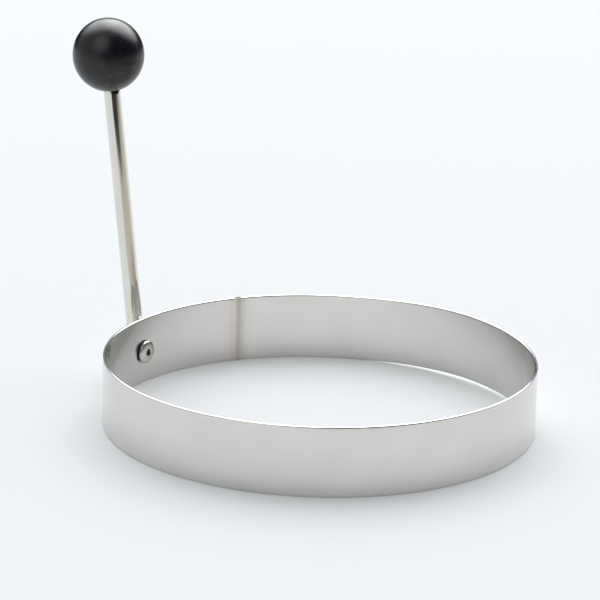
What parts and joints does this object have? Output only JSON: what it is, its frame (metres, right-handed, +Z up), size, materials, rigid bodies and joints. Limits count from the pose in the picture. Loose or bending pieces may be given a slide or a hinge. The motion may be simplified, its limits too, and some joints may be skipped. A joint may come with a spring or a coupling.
{
  "type": "egg ring",
  "caption": "Round steel egg ring: a rolled, seam-welded band with a fold-down rod handle, riveted at one side and ending in a black ball knob.",
  "frame": {"origin": "on the surface the band stands on, under the middle of the whole ring's box; the band's own axis is 14.61 mm from it, towards +X", "axes": "+Z up along the band's axis; the handle is on the -X side and folds about the X axis"},
  "size_m": [0.1812, 0.152, 0.1329],
  "materials": {
    "band_steel": "satin stainless strip",
    "weld_steel": "dressed weld with a light heat tint",
    "rivet_metal": "plain drawn stainless",
    "mandrel_steel": "broken steel stem",
    "washer_steel": "stamped stainless",
    "rod_steel": "satin drawn rod",
    "bush_brass": "turned brass",
    "knob_phenolic": "moulded satin phenolic"
  },
  "bodies": {
    "ring": {"ring_band": "band_steel", "seam_weld": "weld_steel", "rivet_body": "rivet_metal", "rivet_mandrel": "mandrel_steel", "spacer_washer": "washer_steel", "backing_washer": "washer_steel"},
    "handle": {"handle_rod": "rod_steel", "knob_bush": "bush_brass", "ball_knob": "knob_phenolic"}
  },
  "joints": [
    {"name": "handle_pivot", "type": "hinge", "parent": "ring", "child": "handle", "pos_m": [-0.06449, 0, 0.0117], "axis": [-1, 0, 0], "range_deg": [-89, 89]}
  ]
}
